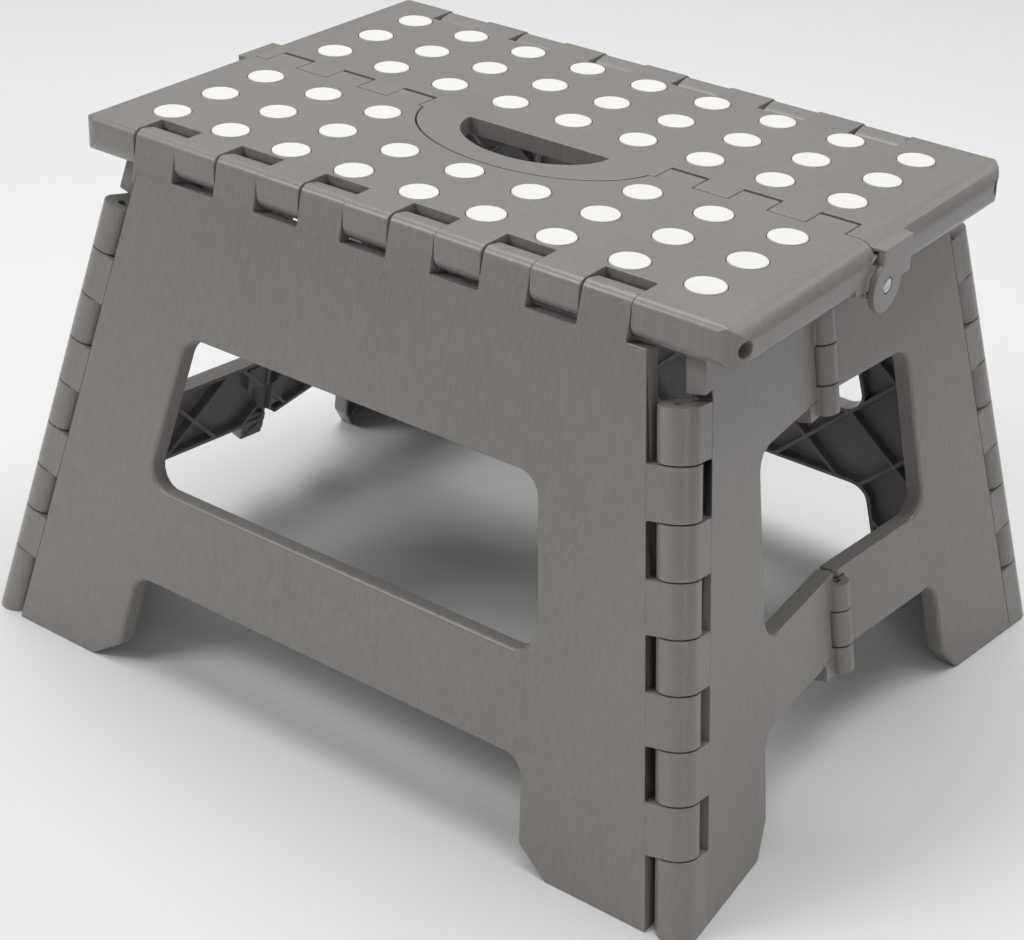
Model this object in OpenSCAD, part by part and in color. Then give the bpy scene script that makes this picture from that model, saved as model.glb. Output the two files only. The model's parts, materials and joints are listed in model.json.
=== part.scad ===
// Folding step stool. The top folds up along its middle, the two long panels come together,
// and the hinged end leaves fold inward between them. Millimetres, Z up, origin on the floor
// under the middle of the stool, X along the long side, the front panel on -Y.

/* [Overall] */
// Height of the standing surface
height = 209; // [204:1:214]
// Length of the top along X
top_length = 289; // [284:1:300]
// Depth of the top along Y
top_depth = 193.5; // [193:0.5:200]
// Length of the footprint at the floor, outside to outside
foot_length = 337.5; // [334:0.5:345]
// Outward splay of the front and rear panels, in degrees
splay = 11.1; // [10:0.1:12]
// Outward rake of the two ends, in degrees
rake = 11.7; // [11:0.1:12.2]
// Inward bow of each end leaf when the stool stands, in degrees
bow = 6; // [0:0.5:6.5]

/* [Walls and ribs] */
// Thickness of every outer face
skin = 3; // [2:0.1:3.5]
// Thickness of the stiffening ribs
rib = 1.8; // [1.2:0.1:2.5]
// Spacing of the crossed ribs
rib_pitch = 30; // [26:1:40]
// Depth of the top's end skirts
top_thickness = 15.9; // [15:0.1:16]

/* [Hinges] */
// Radius of the edge and corner hinge barrels
barrel_r = 7.5; // [7.2:0.1:7.6]
// Depth of the edge hinge pins below the top
edge_depth = 8.5; // [8.4:0.1:9]
// Radius of the small barrels in the middle of each end
mid_barrel_r = 5; // [4.5:0.1:5.5]
// Length of a hinge barrel on the long edges
edge_knuckle = 20; // [18:0.5:21]
// Length of a hinge barrel down the corners
corner_knuckle = 18.7; // [18:0.1:19.2]
// Radius of the edge and corner hinge pins
pin_r = 2; // [1.5:0.1:2.5]
// Radius of the pins in the middle of each end
mid_pin_r = 1.5; // [1.2:0.1:1.8]
// Gap left between neighbouring moving faces
gap = 0.4; // [0.3:0.05:0.6]

/* [Tread dots] */
// Radius of a tread dot
dot_r = 7.1; // [6:0.1:7.5]
// Spacing of the dots along the top
dot_pitch_x = 29.5; // [28:0.1:30]
// Spacing of the dot rows
dot_pitch_y = 26.1; // [25:0.1:26.1]
// Distance of the first dot row from the middle
dot_first_y = 20.8; // [20.2:0.1:20.8]
// Height that the dots stand above the top
dot_proud = 0.3; // [0.1:0.1:0.5]

/* [Hidden] */

$fn = 48;
far = 400;
arc_steps = 6;
plastic = "#6b6862";
dot_white = "#f2f0ec";
steel = "silver";

// Hinge lines
edge_y = top_depth / 2 - barrel_r;
edge_z = height - edge_depth;
fold_drop = barrel_r + gap;
centre_z = edge_z - fold_drop;
panel_foot_y = edge_y + barrel_r / cos(splay) + edge_z * tan(splay);
half_top = top_length / 2;
half_foot = foot_length / 2;

// Corner hinge line of the right rear corner: foot point and upward direction
corner_foot = [half_foot - barrel_r / cos(rake), panel_foot_y - barrel_r / cos(splay), 0];
corner_up = unit([-tan(rake), -tan(splay), 1]);
corner_stretch = norm([tan(rake), tan(splay), 1]);

// Plane and frame of the right rear leaf
flat_normal = unit(cross([0, 1, 0], corner_up));
leaf_normal = cos(bow) * flat_normal - sin(bow) * cross(corner_up, flat_normal);
leaf_up = unit(cross(leaf_normal, [0, 1, 0]) * (cross(leaf_normal, [0, 1, 0])[2] > 0 ? 1 : -1));
leaf_along = cross(leaf_up, leaf_normal);
end_hinge_foot = [(leaf_normal * corner_foot + fold_drop) / leaf_normal[0], 0, 0];
leaf_origin = end_hinge_foot - fold_drop * leaf_normal;
leaf_corner = [(corner_foot - leaf_origin) * leaf_along, (corner_foot - leaf_origin) * leaf_up];
leaf_tilt = atan((corner_up * leaf_along) / (corner_up * leaf_up));

// The corner hinge line seen in the frame of the front panel
panel_corner_x = corner_foot[0] - edge_z * tan(rake);
panel_tilt = atan(tan(rake) * cos(splay));
panel_foot_v = -edge_z / cos(splay);

// Corner hinge knuckles, counted down from the top, as distances up the hinge line
corner_shelf = 176.9;
corner_top = corner_shelf * corner_stretch;
corner_levels = [for (i = [0:8]) corner_top - i * corner_knuckle * corner_stretch];

// Middles of the barrels along the long edges, a little to the left of the centre
panel_knuckles = [for (i = [0:5]) -105 + i * 40];
top_knuckles = [for (i = [0:4]) -85 + i * 40];

// End hinge knuckles, as heights up the leaf
upper_levels = [177, 164.2, 149.2, 137.5];
lower_levels = [71.5, 60.5, 46, 34.5];

// The webs of the barrels lie this little below the faces they run into
sink = 0.05;

// Ribs keep this far behind the hinge plane, so that folded leaves lie clear
rib_back = 0.25;
top_under = height - top_thickness;
// The top is shallower beside its middle, where the halves swing past each other
seam_z = centre_z + 9.4;
leaf_top = top_under - 1.9;

// Soft shoulder of the edge barrels, and how far the panel's own barrels rise above the pin
shoulder_r = 3.5;
panel_shoulder = barrel_r;
notch_back = panel_shoulder + gap;

// Plate of the top, its rolled ends and rounded corners, and the depth of the dot pockets
plate = skin + 0.5;
end_roll = 8;
end_tuck = 4;
plan_corner = 10;
dot_depth = 1.5;

// Seam between the halves of the top
seam_tooth = 5.2;
tooth_w = 15.4;
tooth_xs = [62, 92.6, 123.8];
tooth_slot = 2;
handle_w = 104;
handle_d = 35.6;
hand_hole_w = 64;
hand_hole_d = 23.8;
hand_hole_edge = 1.5;

// Ear of the rear half at each end, and the pin through it
ear_r = 10;
ear_out = 2.8;
ear_gap = 0.25;
centre_pin_r = 1.5;
lobe_y = -3.6;
lobe_z = centre_z + 3.7;
lobe_hole_r = 7.2;
lobe_r = 8.4;
lobe_room = 13.2;
end_wall = 3.5;
pad_y = 16;

function unit(v) = v / norm(v);

// Points of a corner rounded to radius r between the directions to its two neighbours
function corner_arc(a, b, c, r) =
    let (u = unit(a - b), w = unit(c - b), half = acos(u * w) / 2,
         m = b + unit(u + w) * r / sin(half),
         p = b + u * r / tan(half), q = b + w * r / tan(half))
    r <= 0 ? [b] : [for (i = [0:arc_steps]) m + r * unit((p - m) * (1 - i / arc_steps) + (q - m) * i / arc_steps)];

// Closed outline with each corner rounded to its own radius
function rounded(pts, r) =
    [for (i = [0:len(pts) - 1]) each
        corner_arc(pts[(i + len(pts) - 1) % len(pts)], pts[i], pts[(i + 1) % len(pts)], r[i])];

// Half of an ellipse bulging to -Y
function bowl(w, d) = [for (i = [0:32]) [w / 2 * cos(180 + i * 180 / 32), d * sin(180 + i * 180 / 32)]];

// Height above the floor turned into the panel's own upward coordinate on its outer face
function panel_v(z) = (z - edge_z - barrel_r * sin(splay)) / cos(splay);
function panel_edge_x(v, d) = panel_corner_x - (barrel_r + 2 * gap + d) / cos(panel_tilt) - v * tan(panel_tilt);
function leaf_q(z) = z / leaf_up[2];
function leaf_edge_p(q, d) = leaf_corner[0] + (q - leaf_corner[1]) * tan(leaf_tilt) - d / cos(leaf_tilt);

// ---------- frames ----------
module in_panel() {
    translate([0, -edge_y, edge_z]) rotate([90 - splay, 0, 0]) children();
}

module in_leaf() {
    multmatrix([for (i = [0:2]) [leaf_along[i], leaf_up[i], leaf_normal[i], leaf_origin[i]]]) children();
}

// Along the corner hinge, in the panel's frame: y runs up the hinge line
module panel_corner() {
    translate([panel_corner_x - panel_foot_v * tan(panel_tilt), panel_foot_v, 0])
        rotate([0, 0, panel_tilt]) children();
}

// Along the corner hinge, in the leaf's frame: y runs up the hinge line
module leaf_hinge_line() {
    translate([leaf_corner[0], leaf_corner[1], 0]) rotate([0, 0, -leaf_tilt]) children();
}

// Along the corner hinge of the right rear corner: z runs up the hinge line
module corner_axis() {
    in_leaf() leaf_hinge_line() rotate([-90, 0, 0]) children();
}

module mirrored_x() {
    children();
    mirror([1, 0, 0]) children();
}

module above_floor() {
    intersection() {
        children();
        translate([-far, -far, 0]) cube([2 * far, 2 * far, far]);
    }
}

// Crossed diagonal ribs, as a flat pattern
module lattice(reach) {
    count = ceil(reach / rib_pitch);
    for (angle = [-45, 45], i = [-count:count])
        rotate(angle) translate([-reach * 1.5, i * rib_pitch - rib / 2]) square([reach * 3, rib]);
}

// ---------- long panels ----------
// Face of a panel, drawn in by d all round
module panel_face(d) {
    top = -barrel_r - 2 * gap - d;
    low = -225;
    window_top = panel_v(140) + d;
    window_low = panel_v(78) - d;
    cut_top = panel_v(40) + d;
    difference() {
        polygon([[-panel_edge_x(top, d), top], [panel_edge_x(top, d), top],
                 [panel_edge_x(low, d), low], [-panel_edge_x(low, d), low]]);
        polygon(rounded([[-80 - d, window_top], [80 + d, window_top],
                         [92 + d, window_low], [-92 - d, window_low]], [9 + d, 9 + d, 9 + d, 9 + d]));
        polygon(rounded([[-92.5 - d, cut_top], [92.5 + d, cut_top], [97.5 + d, panel_v(9)],
                         [113 + d, panel_v(-1)], [113 + d, low - 5], [-113 - d, low - 5],
                         [-113 - d, panel_v(-1)], [-97.5 - d, panel_v(9)]], [8 + d, 8 + d, 3, 0, 0, 0, 0, 3]));
    }
}

// Section of an edge barrel: round, with its outer upper quarter squared off to a soft shoulder
module shouldered(rise) {
    circle(r = barrel_r);
    square([barrel_r, rise - shoulder_r]);
    square([barrel_r - shoulder_r, rise]);
    translate([barrel_r - shoulder_r, rise - shoulder_r]) circle(r = shoulder_r);
}

module panel_edge_knuckles() {
    for (x = panel_knuckles) {
        translate([x - edge_knuckle / 2 + gap / 2, 0, 0]) rotate([90, 0, 90])
            linear_extrude(edge_knuckle - gap) rotate(90) mirror([0, 1, 0]) shouldered(panel_shoulder);
        translate([x - edge_knuckle / 2 + gap / 2, -13, barrel_r - 2 * skin])
            cube([edge_knuckle - gap, 13, 2 * skin - sink]);
    }
}

module panel_corner_knuckles() {
    for (i = [1, 3, 5, 7]) {
        low = corner_levels[i] - corner_knuckle * corner_stretch + gap / 2;
        high = corner_levels[i] - gap / 2;
        panel_corner() translate([0, low, 0]) {
            rotate([-90, 0, 0]) cylinder(h = high - low, r = barrel_r);
            translate([-14, 0, rib_back + sink]) cube([14, high - low, barrel_r - rib_back - 2 * sink]);
        }
    }
}

module panel_solid() {
    above_floor() in_panel() difference() {
        union() {
            translate([0, 0, barrel_r - skin]) linear_extrude(skin) panel_face(0);
            translate([0, 0, rib_back]) linear_extrude(barrel_r - skin / 2 - rib_back) difference() {
                panel_face(0);
                panel_face(2);
            }
            translate([0, 0, rib_back]) linear_extrude(barrel_r - skin / 2 - rib_back) intersection() {
                lattice(240);
                panel_face(1);
            }
            panel_edge_knuckles();
            mirrored_x() panel_corner_knuckles();
        }
        translate([-far / 2, 0, 0]) rotate([0, 90, 0]) cylinder(h = far, r = pin_r + 0.05);
        mirrored_x() panel_corner() translate([0, -20, 0]) rotate([-90, 0, 0])
            cylinder(h = far, r = pin_r + 0.05);
    }
}

module front_panel() {
    color(plastic) panel_solid();
}

module rear_panel() {
    color(plastic) mirror([0, 1, 0]) panel_solid();
}

// ---------- end leaves ----------
// Face of the right rear leaf, drawn in by d all round
module leaf_face(d) {
    cut_back = barrel_r + 2 * gap + d;
    top = leaf_q(leaf_top) - d;
    low = -12;
    seam = gap / 2 + d;
    shelf = leaf_q(corner_shelf + 1.5);
    hole_top = leaf_q(144) + d;
    hole_low = leaf_q(75) - d;
    foot_top = leaf_q(42) + d;
    difference() {
        polygon([[seam, top], [leaf_edge_p(top, 3 + d), top],
                 [leaf_edge_p(shelf, 3 + d), shelf + d],
                 [leaf_edge_p(shelf, cut_back), shelf + d],
                 [leaf_edge_p(low, cut_back), low], [seam, low]]);
        polygon(rounded([[-20, hole_top], [53.5 + d, hole_top], [60 + d, hole_low], [-20, hole_low]],
                        [0, 9 + d, 9 + d, 0]));
        polygon(rounded([[-20, foot_top], [65 + d, foot_top], [69.5 + d, leaf_q(10)], [78 + d, -1],
                         [78 + d, low - 5], [-20, low - 5]], [0, 9 + d, 3, 0, 0, 0]));
    }
}

module leaf_corner_knuckles() {
    for (i = [0, 2, 4, 6, 8]) {
        high = corner_levels[i] - gap / 2;
        low = i == 8 ? -12 : high - corner_knuckle * corner_stretch + gap;
        leaf_hinge_line() translate([0, low, 0]) {
            rotate([-90, 0, 0]) cylinder(h = high - low, r = barrel_r);
            translate([-14, 0, rib_back + sink]) cube([14, high - low, barrel_r - rib_back - 2 * sink]);
        }
    }
}

// Small barrels at the middle of the end, between the heights low and high
module end_knuckle(low, high) {
    translate([0, leaf_q(low) + gap / 2, fold_drop]) rotate([-90, 0, 0])
        cylinder(h = leaf_q(high) - leaf_q(low) - gap, r = mid_barrel_r);
    translate([0, leaf_q(low) + gap / 2, barrel_r - 2 * skin])
        cube([12, leaf_q(high) - leaf_q(low) - gap, 2 * skin - sink]);
}

module end_hinge(levels, own) {
    for (i = own) end_knuckle(levels[i + 1], levels[i]);
}

// Room for the other leaf's barrels
module end_hinge_room(levels, other) {
    for (i = other)
        translate([-mid_barrel_r - 1, leaf_q(levels[i + 1]) - gap / 2, -1])
            cube([2 * mid_barrel_r + 1.7, leaf_q(levels[i]) - leaf_q(levels[i + 1]) + gap, far]);
}

// The right rear leaf. own and other say which of the three small barrels belong to it
module leaf_solid(own, other, bore) {
    above_floor() in_leaf() difference() {
        union() {
            difference() {
                union() {
                    translate([0, 0, barrel_r - skin]) linear_extrude(skin) leaf_face(0);
                    translate([0, 0, rib_back]) linear_extrude(barrel_r - skin / 2 - rib_back) difference() {
                        leaf_face(0);
                        leaf_face(2);
                    }
                    translate([0, 0, rib_back]) linear_extrude(barrel_r - skin / 2 - rib_back) intersection() {
                        translate([0, 100]) lattice(140);
                        leaf_face(1);
                    }
                }
                end_hinge_room(upper_levels, other);
                end_hinge_room(lower_levels, other);
            }
            end_hinge(upper_levels, own);
            end_hinge(lower_levels, own);
            leaf_corner_knuckles();
        }
        translate([0, 0, fold_drop]) rotate([-90, 0, 0]) cylinder(h = far, r = bore);
        leaf_hinge_line() translate([0, 3, 0]) rotate([-90, 0, 0]) cylinder(h = far, r = pin_r + 0.05);
    }
}

module front_leaf(bore) {
    mirror([0, 1, 0]) leaf_solid([0, 2], [1], bore);
}

module rear_leaf(bore) {
    leaf_solid([1], [0, 2], bore);
}

module right_front_leaf() {
    color(plastic) front_leaf(mid_pin_r + 0.05);
}

module right_rear_leaf() {
    color(plastic) rear_leaf(mid_pin_r + 0.05);
}

module left_front_leaf() {
    color(plastic) mirror([1, 0, 0]) front_leaf(mid_pin_r + 0.05);
}

// The left end hinge is the open one, so the rear barrel has a roomy bore
module left_rear_leaf() {
    color(plastic) mirror([1, 0, 0]) rear_leaf(mid_pin_r + 0.6);
}

// ---------- top ----------
// Plan of one half of the top, the front one; y_seam is where it ends
module top_plan() {
    difference() {
        translate([-half_top, -edge_y - barrel_r]) square([top_length, edge_y + barrel_r - seam_tooth - gap / 2]);
        mirrored_x() translate([half_top - plan_corner, -edge_y - barrel_r + plan_corner]) difference() {
            translate([0, -plan_corner]) square([plan_corner, plan_corner]);
            circle(r = plan_corner);
        }
    }
}

// The rolled-over ends of the top, as a bar along Y that everything in it is cut to
module end_rolls() {
    low = edge_z - barrel_r;
    translate([0, far / 2, 0]) rotate([90, 0, 0]) linear_extrude(far)
        polygon(rounded([[-half_top, low], [half_top, low], [half_top, height], [-half_top, height]],
                        [end_tuck, end_tuck, end_roll, end_roll]));
}

// Ribs and skirts under one half, front side; y from the front edge to the middle
module top_ribs() {
    back = -edge_y + notch_back + 0.3;
    front = -seam_tooth - gap / 2;
    for (x = [-half_top, half_top - end_wall])
        translate([x, -edge_y, top_under]) cube([end_wall, edge_y + front, top_thickness - 1]);
    translate([-half_top + 1, back, top_under]) cube([top_length - 2, 2, top_thickness - 1]);
    translate([-half_top + 1, front - 2, top_under]) cube([top_length - 2, 2, top_thickness - 1]);
    translate([0, 0, top_under]) linear_extrude(top_thickness - 1) intersection() {
        translate([0, -edge_y / 2]) lattice(150);
        translate([-half_top + 1, back]) square([top_length - 2, front - back]);
    }
}

// What the two halves must keep clear of beside the middle, below the top plate
module seam_relief() {
    rotate([90, 0, 90]) translate([0, 0, -half_top + end_wall]) linear_extrude(top_length - 2 * end_wall)
        polygon([[-11, top_under - 1], [-10, top_under], [-5, seam_z], [5, seam_z], [10, top_under],
                 [11, top_under - 1]]);
}

module top_barrels() {
    for (x = top_knuckles) translate([x - edge_knuckle / 2 + gap / 2, 0, 0])
        top_barrel(edge_knuckle - gap);
    first = panel_knuckles[0] - edge_knuckle / 2 - gap / 2;
    last = panel_knuckles[5] + edge_knuckle / 2 + gap / 2;
    translate([-half_top, 0, 0]) top_barrel(half_top + first);
    translate([last, 0, 0]) top_barrel(half_top - last);
}

module top_barrel(length) {
    web_drop = 4;
    rotate([90, 0, 90]) linear_extrude(length) mirror([1, 0, 0]) shouldered(edge_depth);
    translate([0, 0, -web_drop]) cube([length, notch_back + 2.5, barrel_r + web_drop]);
}

module tooth(extra) {
    for (side = [-1, 1], x = tooth_xs)
        translate([side * x - tooth_w / 2 - extra / 2, -seam_tooth - 6])
            square([tooth_w + extra, seam_tooth + 6 + 4.7 + (extra > 0 ? tooth_slot : 0)]);
}

// Half of the top without its handle, teeth, dots and ears; drawn as the front half
module top_half_blank() {
    difference() {
        intersection() {
            union() {
                translate([-half_top, -edge_y, height - plate]) cube([top_length, edge_y, plate]);
                top_ribs();
                translate([0, -edge_y, edge_z]) top_barrels();
            }
            linear_extrude(far) top_plan();
            end_rolls();
        }
        translate([0, -edge_y, edge_z]) {
            for (x = panel_knuckles) translate([x - edge_knuckle / 2 - gap / 2, -far / 2, -far / 2])
                cube([edge_knuckle + gap, far / 2 + notch_back, far]);
            translate([-half_top + 7, 0, 0]) rotate([0, 90, 0]) cylinder(h = top_length, r = pin_r + 0.05);
            for (x = [-half_top - 1, half_top - 7]) translate([x, 0, 0]) rotate([0, 90, 0])
                cylinder(h = 8, r = pin_r + 1);
        }
        seam_relief();
    }
}

// Places of the dots on one half; the handle's bay takes three places of the front half
module dot_places(front) {
    translate([0, 0, height - dot_depth]) mirror([0, front ? 1 : 0, 0])
        for (row = [0:2], i = [-4:4])
            if (!front || row > 0 || abs(i) > 1)
                translate([i * dot_pitch_x, dot_first_y + row * dot_pitch_y, 0]) children();
}

module dots(front) {
    dot_places(front) cylinder(h = dot_depth + dot_proud, r = dot_r);
}

module dot_pockets(front) {
    dot_places(front) cylinder(h = dot_depth + 1, r = dot_r + 0.25);
}

// The handle as seen from above, grown by d
module handle_plan(d) {
    polygon(bowl(handle_w + 2 * d, handle_d + d));
    translate([-handle_w / 2 - d, -0.01]) square([handle_w + 2 * d, 8]);
}

module hand_hole() {
    translate([0, -hand_hole_edge]) polygon(bowl(hand_hole_w, hand_hole_d));
}

module front_top() {
    color(plastic) difference() {
        union() {
            top_half_blank();
            intersection() {
                translate([0, 0, seam_z]) linear_extrude(height - seam_z) tooth(0);
                translate([-half_top, -far, 0]) cube([top_length, 2 * far, far]);
            }
            for (side = [-1, 1]) end_lobe(side);
            handle_rim();
        }
        translate([0, 0, top_under - 1]) linear_extrude(top_thickness + 2) handle_plan(0.6);
        for (side = [-1, 1]) lobe_bore(side);
        dot_pockets(true);
    }
}

// Wall round the bay that the handle drops into
module handle_rim() {
    translate([0, 0, top_under + 4]) linear_extrude(top_thickness - 5) difference() {
        handle_plan(3);
        handle_plan(0.6);
        translate([-far, -seam_tooth - gap / 2]) square([2 * far, far]);
    }
}

module end_layer(side, inner, outer) {
    translate([side * (inner + outer) / 2, 0, 0]) rotate([90, 0, 90])
        linear_extrude(outer - inner, center = true) children();
}

// Lug of the front half behind the ear, with room for the pin to shift
module end_lobe(side) {
    end_layer(side, half_top - end_wall, half_top) {
        translate([lobe_y, lobe_z]) circle(r = lobe_r);
        translate([-18, top_under]) square([18 + lobe_y, lobe_z - top_under + lobe_r / 2]);
    }
}

module lobe_bore(side) {
    end_layer(side, half_top - end_wall - 1, half_top + 1) translate([lobe_y, lobe_z]) circle(r = lobe_hole_r);
}

// Ear of the rear half: a plate outside the end skirt, tied into it behind the lobe's swing
module ear(side) {
    end_layer(side, half_top + ear_gap, half_top + ear_out) {
        translate([0, centre_z]) circle(r = ear_r);
        translate([-seam_tooth + gap / 2, centre_z + 3]) square([pad_y + seam_tooth - gap / 2, 11.5]);
        translate([0, top_under]) square([pad_y, 10]);
    }
    end_layer(side, half_top - 3, half_top + ear_out)
        translate([-seam_tooth + gap / 2, centre_z + 13.2]) square([pad_y + seam_tooth - gap / 2, 1.3]);
    end_layer(side, half_top - end_wall, half_top + ear_out)
        translate([pad_y - 2, top_under]) square([2, top_thickness - 1.9]);
}

module rear_top() {
    color(plastic) difference() {
        union() {
            difference() {
                mirror([0, 1, 0]) top_half_blank();
                for (side = [-1, 1]) end_layer(side, half_top - end_wall - 0.5, half_top + 1)
                    translate([0, top_under - 1]) square([pad_y - 2, lobe_room]);
            }
            difference() {
                intersection() {
                    translate([0, 0, seam_z]) linear_extrude(height - seam_z) seam_teeth_rear();
                    end_rolls();
                }
                for (side = [-1, 1]) end_layer(side, half_top - end_wall - 0.5, half_top + 1)
                    translate([-20, top_under - 1]) square([40, lobe_room]);
            }
            translate([0, 0, seam_z]) linear_extrude(height - seam_z) handle_plan(0);
            for (side = [-1, 1]) ear(side);
        }
        translate([0, 0, seam_z - 1]) linear_extrude(height) tooth(0.6);
        translate([0, 0, top_under - 1]) linear_extrude(top_thickness + 2) hand_hole();
        handle_hollow();
        for (side = [-1, 1]) centre_pin_bore(side);
        dot_pockets(false);
    }
}

// The strip of the rear half that reaches over the middle to meet the front half
module seam_teeth_rear() {
    translate([-half_top, -seam_tooth + gap / 2]) square([top_length, 2 * seam_tooth]);
}

// The handle is hollow underneath, apart from its rim and the wall round the hand hole
module handle_hollow() {
    translate([0, 0, seam_z - 1]) linear_extrude(height - plate - seam_z + 1) difference() {
        handle_plan(-2.2);
        translate([0, -hand_hole_edge]) polygon(bowl(hand_hole_w + 5, hand_hole_d + 2.5));
        translate([-far, -hand_hole_edge - 2]) square([2 * far, far]);
    }
}

module centre_pin_bore(side) {
    end_layer(side, half_top - 1, half_top + ear_out + 1) translate([0, centre_z]) circle(r = centre_pin_r + 0.05);
    end_layer(side, half_top + ear_out - 1.2, half_top + ear_out + 1) translate([0, centre_z]) circle(r = 3.1);
}

// ---------- pins ----------
module edge_pin() {
    translate([-half_top + 9, -edge_y, edge_z]) rotate([0, 90, 0]) cylinder(h = top_length - 18, r = pin_r);
}

module front_edge_pin() {
    color(steel) edge_pin();
}

module rear_edge_pin() {
    color(steel) mirror([0, 1, 0]) edge_pin();
}

module corner_pin() {
    low = 4;
    corner_axis() translate([0, 0, low]) cylinder(h = corner_top - 1.2 - low, r = pin_r);
}

module right_front_corner_pin() {
    color(steel) mirror([0, 1, 0]) corner_pin();
}

module right_rear_corner_pin() {
    color(steel) corner_pin();
}

module left_front_corner_pin() {
    color(steel) mirror([1, 0, 0]) mirror([0, 1, 0]) corner_pin();
}

module left_rear_corner_pin() {
    color(steel) mirror([1, 0, 0]) corner_pin();
}

module end_pin(levels) {
    low = leaf_q(levels[3]) - 1;
    in_leaf() translate([0, low, fold_drop]) rotate([-90, 0, 0])
        cylinder(h = leaf_q(levels[0]) - 1 - low, r = mid_pin_r);
}

module right_upper_end_pin() {
    color(steel) end_pin(upper_levels);
}

module right_lower_end_pin() {
    color(steel) end_pin(lower_levels);
}

module left_upper_end_pin() {
    color(steel) mirror([1, 0, 0]) end_pin(upper_levels);
}

module left_lower_end_pin() {
    color(steel) mirror([1, 0, 0]) end_pin(lower_levels);
}

module centre_pin(side) {
    end_layer(side, half_top - end_wall, half_top + ear_out - 1.2) translate([0, centre_z]) circle(r = centre_pin_r);
    end_layer(side, half_top + ear_out - 1.2, half_top + ear_out - 0.3) translate([0, centre_z]) circle(r = 3);
}

module right_centre_pin() {
    color(steel) centre_pin(1);
}

module left_centre_pin() {
    color(steel) centre_pin(-1);
}

// ---------- tread dots ----------
module front_tread_dots() {
    color(dot_white) dots(true);
}

module rear_tread_dots() {
    color(dot_white) dots(false);
}

front_top();
rear_top();
front_panel();
rear_panel();
right_front_leaf();
right_rear_leaf();
left_front_leaf();
left_rear_leaf();
front_edge_pin();
rear_edge_pin();
right_front_corner_pin();
right_rear_corner_pin();
left_front_corner_pin();
left_rear_corner_pin();
right_upper_end_pin();
right_lower_end_pin();
left_upper_end_pin();
left_lower_end_pin();
right_centre_pin();
left_centre_pin();
front_tread_dots();
rear_tread_dots();
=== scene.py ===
"""Looks of the folding step stool: moulded grey plastic, white rubber tread dots and steel pins."""

import json
import math

import bmesh
import bpy
from mathutils import Euler, Matrix, Vector
from mathutils.bvhtree import BVHTree


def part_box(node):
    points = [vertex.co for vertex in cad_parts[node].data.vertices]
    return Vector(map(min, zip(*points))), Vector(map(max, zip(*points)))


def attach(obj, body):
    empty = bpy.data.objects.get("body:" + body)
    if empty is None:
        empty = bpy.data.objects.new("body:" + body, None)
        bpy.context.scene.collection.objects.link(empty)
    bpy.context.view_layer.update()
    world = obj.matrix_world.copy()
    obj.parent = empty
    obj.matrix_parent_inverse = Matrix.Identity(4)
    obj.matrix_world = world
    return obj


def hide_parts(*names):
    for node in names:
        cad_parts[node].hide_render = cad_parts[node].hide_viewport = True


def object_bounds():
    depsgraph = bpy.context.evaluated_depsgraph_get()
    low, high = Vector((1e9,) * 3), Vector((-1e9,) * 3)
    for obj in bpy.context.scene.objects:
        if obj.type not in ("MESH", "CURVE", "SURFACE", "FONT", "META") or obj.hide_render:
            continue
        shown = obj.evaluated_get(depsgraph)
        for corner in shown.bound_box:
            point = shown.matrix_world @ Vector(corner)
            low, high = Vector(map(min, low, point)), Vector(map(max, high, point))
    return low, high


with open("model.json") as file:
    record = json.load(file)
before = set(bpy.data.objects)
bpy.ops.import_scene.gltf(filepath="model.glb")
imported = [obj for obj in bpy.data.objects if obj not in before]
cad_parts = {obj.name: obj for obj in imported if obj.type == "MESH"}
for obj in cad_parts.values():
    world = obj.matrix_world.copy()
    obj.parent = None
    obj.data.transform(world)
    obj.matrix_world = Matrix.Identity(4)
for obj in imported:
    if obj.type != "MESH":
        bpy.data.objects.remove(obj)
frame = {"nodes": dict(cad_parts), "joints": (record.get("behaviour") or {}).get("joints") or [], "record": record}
start_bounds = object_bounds()

MM = 0.001

# Linear colours
PLASTIC_TONE = (0.208, 0.1935, 0.177)
# Paler plastic for the random grain and clouds, also used as the painted highlight on sharp edges
PLASTIC_PALER_AND_EDGE_HIGHLIGHT = (0.300, 0.282, 0.262)
DOT_TONE = (0.76, 0.745, 0.725)
DOT_DUSTY = (0.66, 0.65, 0.62)
STEEL_TONE = (0.56, 0.56, 0.57)
STEEL_STAINED = (0.40, 0.39, 0.38)
FLOOR_TONE = (0.80, 0.80, 0.80)
FLOOR_FIBRE = (0.76, 0.76, 0.76)

# Scales of the noise patterns, in features per metre; the grain is stretched up the object
GRAIN_STRETCH = (900.0, 900.0, 26.0)
CLOUD_SCALE = 14.0
SPECKLE_SCALE = 2600.0
DUST_SCALE = 60.0
PORE_SCALE = 1900.0
RING_SCALE = 1500.0
STAIN_SCALE = 240.0
FIBRE_SCALE = 500.0

PLASTIC_IOR = 1.49
PAPER_ROUGHNESS = 0.9

# Widths of the rounded edges
PLASTIC_EDGE = 0.42 * MM
DOT_EDGE = 0.45 * MM
PIN_EDGE = 0.3 * MM
EDGE_STEPS = 2

# Corners nearer than the first are one corner, faces meeting flatter than the second are one face,
# and edges sharper than the third are rounded
WELD = 0.001 * MM
FLAT_ANGLE = math.radians(0.4)
SHARP_ANGLE = math.radians(38)

# How far a rounded corner may stray from the moulding's surface: straight behind it STRAY_IN, otherwise
# STRAY_OUT. Straight behind means that this share of the distance lies along the surface's facing
STRAY_OUT = 0.14 * MM
STRAY_IN = 0.6 * MM
STRAIGHT_BEHIND = 0.9

# Lips of the windows and foot cuts: how wide and round they are, the smallest area of an outer face in
# square metres, how near the end hinge they stop, the share of the moulding's reach and height they
# lie in, and how nearly an outer face must point the way the largest face does
LIP = 1.5 * MM
LIP_STEPS = 3
LIP_FACE = 0.0004
LIP_SEAM = 12 * MM
LIP_REACH = 0.62
LIP_TOP = 0.75
SAME_WAY = 0.999

# The pin heads and the gate mark are sunk this far into the surface they stand on
SUNK = 0.05 * MM

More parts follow.
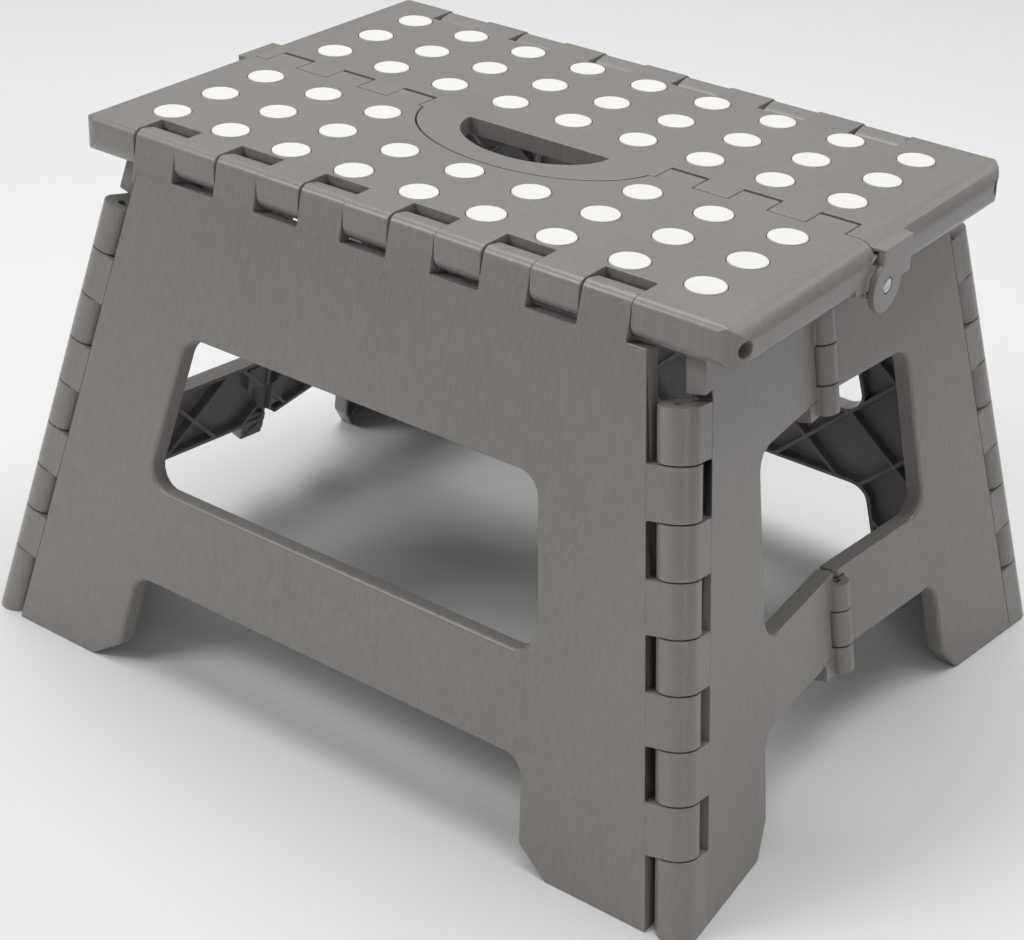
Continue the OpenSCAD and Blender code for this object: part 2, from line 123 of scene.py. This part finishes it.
# The camera: place in metres, tilt from straight down, turn about the vertical, roll about the view
CAMERA_PLACE = (0.4440, -0.6398, 0.5054)
CAMERA_TILT = math.radians(60.55)
CAMERA_TURN = math.radians(35.15)
CAMERA_ROLL = math.radians(2.54)
CAMERA_LENS = 77.86
CAMERA_SENSOR = 36.0
CAMERA_NEAR = 0.01

FLOOR_REACH = 8.0
SKY_STRENGTH = 0.25


# ---------------------------------------------------------------- materials
def new_material(name):
    mat = bpy.data.materials.new(name)
    mat.use_nodes = True
    nodes = mat.node_tree.nodes
    shader = next(n for n in nodes if n.type == "BSDF_PRINCIPLED")
    coords = nodes.new("ShaderNodeTexCoord")
    return mat, shader, coords.outputs["Object"]


def stretched(mat, coords, scale):
    mapping = mat.node_tree.nodes.new("ShaderNodeMapping")
    mapping.inputs["Scale"].default_value = scale
    mat.node_tree.links.new(coords, mapping.inputs["Vector"])
    return mapping.outputs["Vector"]


def noise(mat, vector, scale, detail=4.0, roughness=0.55):
    node = mat.node_tree.nodes.new("ShaderNodeTexNoise")
    node.inputs["Scale"].default_value = scale
    node.inputs["Detail"].default_value = detail
    node.inputs["Roughness"].default_value = roughness
    mat.node_tree.links.new(vector, node.inputs["Vector"])
    return node.outputs["Fac"]


def ranged(mat, value, low, high, out_low, out_high):
    node = mat.node_tree.nodes.new("ShaderNodeMapRange")
    node.inputs["From Min"].default_value = low
    node.inputs["From Max"].default_value = high
    node.inputs["To Min"].default_value = out_low
    node.inputs["To Max"].default_value = out_high
    mat.node_tree.links.new(value, node.inputs["Value"])
    return node.outputs["Result"]


def mixed(mat, factor, first, second):
    node = mat.node_tree.nodes.new("ShaderNodeMix")
    node.data_type = "RGBA"
    colours = [s for s in node.inputs if s.type == "RGBA"]
    for socket, colour in zip(colours, (first, second)):
        if isinstance(colour, tuple):
            socket.default_value = (*colour, 1.0)
        else:
            mat.node_tree.links.new(colour, socket)
    mat.node_tree.links.new(factor, node.inputs[0])
    return next(s for s in node.outputs if s.type == "RGBA")


def bumped(mat, height, strength, distance, below=None):
    node = mat.node_tree.nodes.new("ShaderNodeBump")
    node.inputs["Strength"].default_value = strength
    node.inputs["Distance"].default_value = distance
    mat.node_tree.links.new(height, node.inputs["Height"])
    if below is not None:
        mat.node_tree.links.new(below, node.inputs["Normal"])
    return node.outputs["Normal"]


def plastic_material():
    """Satin polypropylene with a fine vertical grain, faint flow clouds and a painted highlight: sharp convex
    edges made paler by pointiness.
    """
    mat, shader, coords = new_material("grey_plastic")
    link = mat.node_tree.links.new
    grain = noise(mat, stretched(mat, coords, GRAIN_STRETCH), 1.0, 3.0, 0.6)
    clouds = noise(mat, coords, CLOUD_SCALE, 3.0)
    speckle = noise(mat, coords, SPECKLE_SCALE, 2.0)
    tone = mixed(mat, ranged(mat, clouds, 0.3, 0.7, 0.0, 0.22), PLASTIC_TONE, PLASTIC_PALER_AND_EDGE_HIGHLIGHT)
    tone = mixed(mat, ranged(mat, grain, 0.35, 0.68, 0.0, 0.42), tone, PLASTIC_PALER_AND_EDGE_HIGHLIGHT)
    geometry = mat.node_tree.nodes.new("ShaderNodeNewGeometry")
    # Painted highlight: convex sharp edges, found by pointiness, are mixed toward the paler colour
    edge = ranged(mat, geometry.outputs["Pointiness"], 0.52, 0.60, 0.0, 0.45)
    tone = mixed(mat, edge, tone, PLASTIC_PALER_AND_EDGE_HIGHLIGHT)
    link(tone, shader.inputs["Base Color"])
    link(ranged(mat, clouds, 0.3, 0.7, 0.27, 0.36), shader.inputs["Roughness"])
    fine = bumped(mat, speckle, 0.10, 0.08 * MM)
    link(bumped(mat, grain, 0.35, 0.12 * MM, fine), shader.inputs["Normal"])
    shader.inputs["IOR"].default_value = PLASTIC_IOR
    return mat


def rubber_material():
    """Off-white soft rubber with a dusty matt face."""
    mat, shader, coords = new_material("dot_rubber")
    link = mat.node_tree.links.new
    dust = noise(mat, coords, DUST_SCALE, 4.0)
    pores = noise(mat, coords, PORE_SCALE, 2.0)
    link(mixed(mat, ranged(mat, dust, 0.4, 0.8, 0.0, 0.35), DOT_TONE, DOT_DUSTY),
         shader.inputs["Base Color"])
    link(ranged(mat, dust, 0.3, 0.7, 0.62, 0.76), shader.inputs["Roughness"])
    link(bumped(mat, pores, 0.15, 0.08 * MM), shader.inputs["Normal"])
    return mat


def steel_material():
    """Drawn steel wire with fine turning rings."""
    mat, shader, coords = new_material("steel_pin")
    link = mat.node_tree.links.new
    rings = noise(mat, coords, RING_SCALE, 2.0)
    stain = noise(mat, coords, STAIN_SCALE, 3.0)
    link(mixed(mat, ranged(mat, stain, 0.4, 0.8, 0.0, 0.4), STEEL_TONE, STEEL_STAINED),
         shader.inputs["Base Color"])
    shader.inputs["Metallic"].default_value = 1.0
    link(ranged(mat, stain, 0.3, 0.7, 0.24, 0.38), shader.inputs["Roughness"])
    link(bumped(mat, rings, 0.12, 0.05 * MM), shader.inputs["Normal"])
    return mat


def floor_material():
    """Seamless pale studio paper."""
    mat, shader, coords = new_material("studio_paper")
    link = mat.node_tree.links.new
    fibre = noise(mat, coords, FIBRE_SCALE, 3.0)
    link(mixed(mat, ranged(mat, fibre, 0.3, 0.7, 0.0, 0.05), FLOOR_TONE, FLOOR_FIBRE),
         shader.inputs["Base Color"])
    shader.inputs["Roughness"].default_value = PAPER_ROUGHNESS
    link(bumped(mat, fibre, 0.05, 0.1 * MM), shader.inputs["Normal"])
    return mat


PLASTIC = plastic_material()
RUBBER = rubber_material()
STEEL = steel_material()
SLOT_OF = {"grey_plastic": PLASTIC, "dot_rubber": RUBBER, "steel_pin": STEEL}
EDGE_OF = {"dot_rubber": DOT_EDGE, "steel_pin": PIN_EDGE}


# ---------------------------------------------------------------- CAD nodes
def even_shading(obj):
    shade = obj.modifiers.new("shade", "WEIGHTED_NORMAL")
    shade.keep_sharp = True


def soften_in_place(obj, width):
    """Rounds the sharp edges of a small CAD node without touching its mesh."""
    weld = obj.modifiers.new("weld", "WELD")
    weld.merge_threshold = WELD
    flat = obj.modifiers.new("flat_faces", "DECIMATE")
    flat.decimate_type = "DISSOLVE"
    flat.angle_limit = FLAT_ANGLE
    edges = obj.modifiers.new("soft_edges", "BEVEL")
    edges.limit_method = "ANGLE"
    edges.angle_limit = SHARP_ANGLE
    edges.width = width
    edges.segments = EDGE_STEPS
    even_shading(obj)


def lip_edges(mesh, along, seam):
    """Sharp edges of the window and the foot cut on a moulding's outer face.

    along is the direction the moulding reaches in, 0 for X and 1 for Y, and seam is how near the middle
    the edges stop.
    """
    normal = max(mesh.faces, key=lambda face: face.calc_area()).normal.copy()
    reach = max(abs(vert.co[along]) for vert in mesh.verts) * LIP_REACH
    top = max(vert.co.z for vert in mesh.verts) * LIP_TOP
    found = []
    for edge in mesh.edges:
        if len(edge.link_faces) != 2 or edge.calc_face_angle() < SHARP_ANGLE:
            continue
        outer = any(f.normal.dot(normal) > SAME_WAY and f.calc_area() > LIP_FACE for f in edge.link_faces)
        near = all(seam <= abs(vert.co[along]) < reach and vert.co.z < top for vert in edge.verts)
        if outer and near:
            found.append(edge)
    return found


def rounded(mesh, edges, width, steps):
    bmesh.ops.bevel(mesh, geom=edges, offset=width, segments=steps, profile=0.5, affect="EDGES",
                    clamp_overlap=False, loop_slide=True)


def pull_to_surface(mesh, surface):
    """Puts corners that the rounding threw too far back on the moulding's own surface."""
    for vert in mesh.verts:
        place, facing, _, away = surface.find_nearest(vert.co)
        inside = (place - vert.co).dot(facing) > STRAIGHT_BEHIND * away
        if away > (STRAY_IN if inside else STRAY_OUT):
            vert.co = place


def softened_mesh(name, source):
    """A copy of a moulding's mesh with its sharp edges rounded, kept close to its surface."""
    mesh = bmesh.new()
    mesh.from_mesh(source)
    bmesh.ops.remove_doubles(mesh, verts=mesh.verts, dist=WELD)
    bmesh.ops.dissolve_limit(mesh, angle_limit=FLAT_ANGLE, verts=mesh.verts, edges=mesh.edges)
    surface = BVHTree.FromBMesh(mesh)
    if name.endswith("panel"):
        rounded(mesh, lip_edges(mesh, 0, 0.0), LIP, LIP_STEPS)
    if name.endswith("leaf"):
        rounded(mesh, lip_edges(mesh, 1, LIP_SEAM), LIP, LIP_STEPS)
    sharp = [e for e in mesh.edges if len(e.link_faces) == 2 and e.calc_face_angle() > SHARP_ANGLE]
    rounded(mesh, sharp, PLASTIC_EDGE, EDGE_STEPS)
    pull_to_surface(mesh, surface)
    bmesh.ops.remove_doubles(mesh, verts=mesh.verts, dist=WELD)
    bmesh.ops.triangulate(mesh, faces=[f for f in mesh.faces if len(f.verts) > 4])
    for edge in mesh.edges:
        if len(edge.link_faces) != 2 or edge.calc_face_angle(math.pi) > SHARP_ANGLE:
            edge.smooth = False
    return mesh


def dress_nodes():
    """Gives every CAD node its material; mouldings are shown by softened copies."""
    slots = {part["node"]: part["material_slot"] for part in frame["record"]["subparts"]}
    bodies = frame["record"]["behaviour"]["bodies"]
    body_of = {node: body for body, nodes in bodies.items() for node in nodes}
    for name, obj in frame["nodes"].items():
        slot = slots[name]
        obj.data.materials.clear()
        obj.data.materials.append(SLOT_OF[slot])
        if slot == "grey_plastic":
            mesh = softened_mesh(name, obj.data)
            soft = piece(name + "_moulding", mesh, body_of[name], slot)
            even_shading(soft)
            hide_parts(name)
        else:
            soften_in_place(obj, EDGE_OF[slot])


# ---------------------------------------------------------------- detail pieces
def piece(name, mesh, body, slot):
    """A smooth-shaded object from a mesh, riding on a CAD body."""
    data = bpy.data.meshes.new(name)
    mesh.to_mesh(data)
    mesh.free()
    for face in data.polygons:
        face.use_smooth = True
    obj = bpy.data.objects.new(name, data)
    bpy.context.scene.collection.objects.link(obj)
    data.materials.append(SLOT_OF[slot])
    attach(obj, body)
    return obj


def lathe(mesh, profile, place, segments=40):
    """Turns a profile of (radius, height) points about local Z and puts it in place."""
    rings = []
    for radius, height in profile:
        ring = []
        for i in range(segments):
            turn = 2 * math.pi * i / segments
            point = Vector((radius * math.cos(turn), radius * math.sin(turn), height))
            ring.append(mesh.verts.new(place @ point))
        rings.append(ring)
    for lower, upper in zip(rings, rings[1:]):
        for i in range(segments):
            j = (i + 1) % segments
            mesh.faces.new((lower[i], lower[j], upper[j], upper[i]))
    mesh.faces.new(rings[-1])
    mesh.faces.new(list(reversed(rings[0])))


def ridge(mesh, start, end, width, height, up):
    """A thin rounded ridge from start to end, standing on a surface whose outward direction is up."""
    along = (end - start).normalized()
    side = along.cross(up).normalized()
    steps = 6
    rows = []
    for place, shrink in ((start, 0.2), (start + along * width, 1.0),
                          (end - along * width, 1.0), (end, 0.2)):
        row = []
        for i in range(steps + 1):
            turn = math.pi * i / steps
            offset = side * (math.cos(turn) * width / 2) + up * (math.sin(turn) * height * shrink)
            row.append(mesh.verts.new(place + offset))
        rows.append(row)
    for low, high in zip(rows, rows[1:]):
        for i in range(steps):
            mesh.faces.new((low[i], low[i + 1], high[i + 1], high[i]))
        mesh.faces.new((low[steps], low[0], high[0], high[steps]))
    mesh.faces.new(rows[0])
    mesh.faces.new(list(reversed(rows[-1])))


def joint_place(name):
    joint = next(j for j in frame["joints"] if j["name"] == name)
    return Vector(joint["pos_m"])


def parting_lines():
    """Faint mould parting lines along the barrels of the two top halves."""
    barrels = 5
    barrel_pitch = 40 * MM
    first_barrel = -85 * MM
    reach = Vector((9 * MM, 0, 0))
    sunk = 0.04 * MM
    width = 0.45 * MM
    height = 0.16 * MM
    for node, joint in (("front_top", "front_edge"), ("rear_top", "fold")):
        low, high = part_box(node)
        axis = joint_place(joint)
        outward = Vector((0, math.copysign(1.0, axis.y), 0))
        radius = abs((low.y if axis.y < 0 else high.y) - axis.y)
        mesh = bmesh.new()
        for i in range(barrels):
            middle = Vector((first_barrel + i * barrel_pitch, axis.y, axis.z)) + outward * (radius - sunk)
            ridge(mesh, middle - reach, middle + reach, width, height, outward)
        piece(node + "_parting_lines", mesh, node, "grey_plastic")


def rivet_heads():
    """Low domed heads with a turned dimple on the two pins in the ears."""
    for side, node in ((1, "right_centre_pin"), (-1, "left_centre_pin")):
        low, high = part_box(node)
        middle = (low + high) / 2
        radius = (high.z - low.z) / 2
        outer = high.x if side > 0 else low.x
        face = Vector((outer - side * SUNK, middle.y, middle.z))
        turn = Matrix.Rotation(side * math.pi / 2, 4, "Y")
        dome = [(radius * 0.96, 0.0), (radius * 0.9, 0.22 * MM), (radius * 0.7, 0.34 * MM),
                (radius * 0.45, 0.36 * MM), (radius * 0.32, 0.22 * MM), (radius * 0.1, 0.14 * MM)]
        mesh = bmesh.new()
        lathe(mesh, dome, Matrix.Translation(face) @ turn)
        piece(node + "_head", mesh, "rear_top", "steel_pin")


def gate_mark():
    """The small round mark left by the mould gate beside the handle."""
    low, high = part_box("rear_top")
    inset = 9 * MM
    share = 0.46
    place = Vector((low.x * share, inset, high.z - SUNK))
    disc = [(1.5 * MM, 0.0), (1.4 * MM, 0.14 * MM), (0.9 * MM, 0.17 * MM), (0.5 * MM, 0.10 * MM)]
    mesh = bmesh.new()
    lathe(mesh, disc, Matrix.Translation(place), segments=28)
    piece("gate_mark", mesh, "rear_top", "grey_plastic")


# ---------------------------------------------------------------- studio
def build_floor():
    mesh = bpy.data.meshes.new("floor")
    corners = [(x * FLOOR_REACH, y * FLOOR_REACH, 0) for x, y in ((-1, -1), (1, -1), (1, 1), (-1, 1))]
    mesh.from_pydata(corners, [], [(0, 1, 2, 3)])
    floor = bpy.data.objects.new("floor", mesh)
    bpy.context.scene.collection.objects.link(floor)
    mesh.materials.append(floor_material())


def area_light(name, place, size, power, target):
    """A soft rectangular light aimed at the target; size in metres, power in watts."""
    data = bpy.data.lights.new(name, "AREA")
    data.shape = "RECTANGLE"
    data.size, data.size_y = size
    data.energy = power
    light = bpy.data.objects.new(name, data)
    light.location = place
    aim = (target - Vector(place)).to_track_quat("-Z", "Y")
    light.rotation_euler = aim.to_euler()
    bpy.context.scene.collection.objects.link(light)


def build_light():
    low, high = start_bounds
    target = (low + high) / 2
    area_light("overhead", (-0.1, 0.3, 1.7), (1.6, 1.2), 24.0, target)
    area_light("front_left", (-0.9, -1.1, 1.4), (0.7, 0.5), 10.5, target)
    area_light("back_right", (0.7, 1.6, 1.2), (0.8, 0.5), 2.0, target)
    area_light("right_strip", (1.6, -0.8, 0.55), (0.15, 1.2), 2.5, target)
    world = bpy.data.worlds.new("studio")
    world.use_nodes = True
    back = next(n for n in world.node_tree.nodes if n.type == "BACKGROUND")
    back.inputs["Color"].default_value = (1.0, 1.0, 1.0, 1.0)
    back.inputs["Strength"].default_value = SKY_STRENGTH
    bpy.context.scene.world = world


def build_camera():
    data = bpy.data.cameras.new("camera")
    data.sensor_width = CAMERA_SENSOR
    data.lens = CAMERA_LENS
    data.clip_start = CAMERA_NEAR
    data.dof.use_dof = False
    camera = bpy.data.objects.new("camera", data)
    aim = Euler((CAMERA_TILT, 0.0, CAMERA_TURN)).to_matrix()
    roll = Matrix.Rotation(CAMERA_ROLL, 3, "Z")
    camera.location = CAMERA_PLACE
    camera.rotation_euler = (aim @ roll).to_euler()
    bpy.context.scene.collection.objects.link(camera)
    bpy.context.scene.camera = camera


dress_nodes()
parting_lines()
rivet_heads()
gate_mark()
build_floor()
build_light()
build_camera()
bpy.context.scene.view_settings.view_transform = "Standard"
